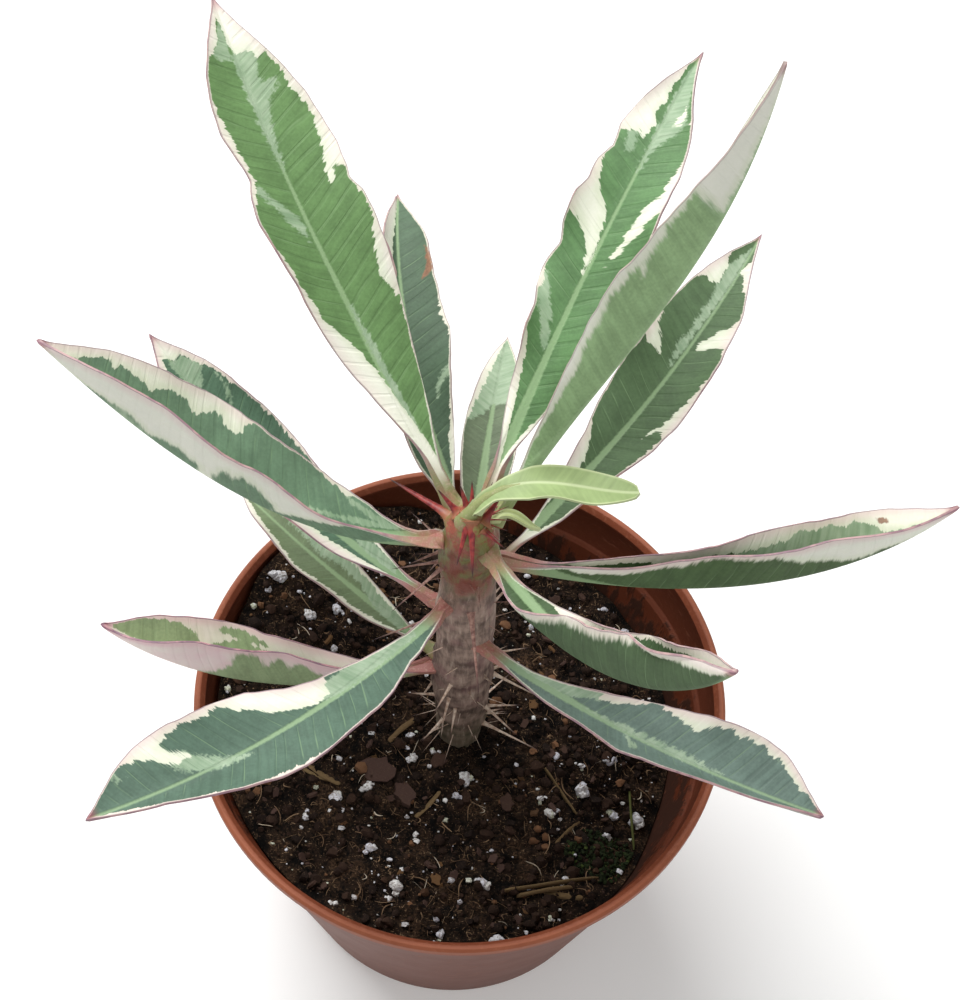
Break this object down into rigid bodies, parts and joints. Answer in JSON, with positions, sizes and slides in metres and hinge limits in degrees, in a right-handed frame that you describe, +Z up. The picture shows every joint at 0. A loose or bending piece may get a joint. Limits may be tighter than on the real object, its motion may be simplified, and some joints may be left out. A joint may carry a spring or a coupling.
{
  "type": "potted crown of thorns",
  "caption": "Variegated crown of thorns with cream-edged green leaves on a thorny stem, in dark peat with perlite in a round terracotta-coloured plastic nursery pot",
  "frame": {"origin": "The middle of the pot's underside, where it stands", "axes": "+Z points up the stem. +Y points to the back of the plant and +X to its right, as seen from the side that the long leaves lean away from"},
  "size_m": [0.1566, 0.1316, 0.2165],
  "materials": {
    "pot_plastic": "thin terracotta-brown plastic, lighter at the lip, smeared with soil inside",
    "potting_soil": null,
    "stem": "grey-brown bark, green and red near the tip, with tan to red spines",
    "leaf": null,
    "young_leaf": null
  },
  "bodies": {
    "root": {"pot": "pot_plastic", "potting_soil": "potting_soil", "stem": "stem", "leaf_back_left": "leaf", "leaf_back_left_low": "leaf", "leaf_back_small": "leaf", "leaf_back_right": "leaf", "leaf_right_upright": "leaf", "leaf_right_back": "leaf", "leaf_right": "leaf", "leaf_front_right_high": "leaf", "leaf_front_right": "leaf", "leaf_front_left": "leaf", "leaf_left_low": "leaf", "leaf_left": "leaf", "leaf_left_back": "leaf", "leaf_left_under": "leaf", "young_leaf": "young_leaf", "leaf_bud": "young_leaf"}
  },
  "joints": []
}
